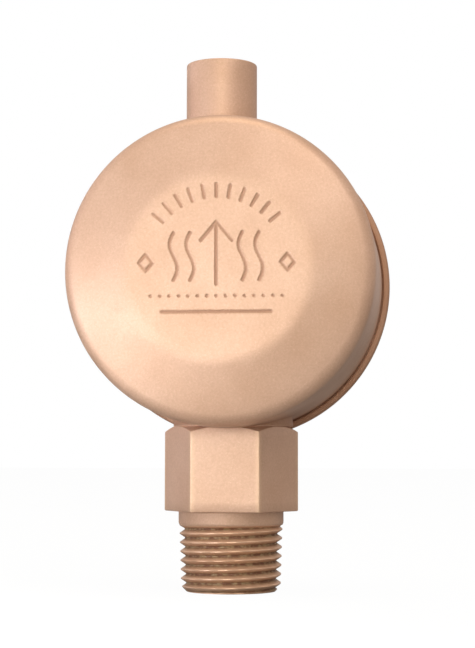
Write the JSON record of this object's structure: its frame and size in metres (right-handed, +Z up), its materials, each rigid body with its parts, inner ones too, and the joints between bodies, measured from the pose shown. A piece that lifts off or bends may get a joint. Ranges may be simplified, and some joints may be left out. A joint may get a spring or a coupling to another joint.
{
  "type": "automatic air vent",
  "caption": "Drum-bodied automatic air vent with an embossed round casing, a plain outlet tube on top and a hexagon nipple with tapered pipe thread below.",
  "frame": {"origin": "on the inlet's axis at the lower end face of its thread", "axes": "+Z up along the inlet and the outlet tube, -Y is the drum's embossed front, +X to the right seen from the front"},
  "size_m": [0.0646, 0.0476, 0.1084],
  "materials": {
    "bronze_paint": "fine-grained satin metallic bronze paint",
    "nipple_brass": "satin bronze paint on the hexagon, bare machined thread",
    "turned_brass": "machined, dull",
    "drawn_bronze": "drawn sheet, satin",
    "spring_bronze": "rolled spring strip, satin",
    "soft_copper": "annealed copper, dull",
    "bimetal": "rolled strip, satin",
    "stainless_steel": "ground",
    "gasket_fibre": "compressed fibre, matte"
  },
  "bodies": {
    "casing": {"front_shell": "bronze_paint", "rear_cover": "bronze_paint", "seam_gasket": "gasket_fibre", "inlet_nipple": "nipple_brass", "outlet_tube": "bronze_paint", "valve_seat": "turned_brass", "seat_washer": "soft_copper", "pin_cage": "turned_brass", "stem_guide": "turned_brass", "bimetal_bracket": "spring_bronze", "strip_spacer": "turned_brass", "bimetal_strip": "bimetal", "clamp_plate": "spring_bronze", "clamp_rivets": "soft_copper"},
    "float": {"float_front_half": "drawn_bronze", "float_rear_half": "drawn_bronze", "pin_socket": "turned_brass", "valve_pin": "stainless_steel", "pin_nut": "turned_brass", "stem_boss": "turned_brass", "guide_stem": "stainless_steel", "stem_clip": "stainless_steel"}
  },
  "joints": [
    {"name": "float_lift", "type": "slide", "parent": "casing", "child": "float", "axis": [0, 0, 1], "range_m": [0, 0.003]}
  ]
}
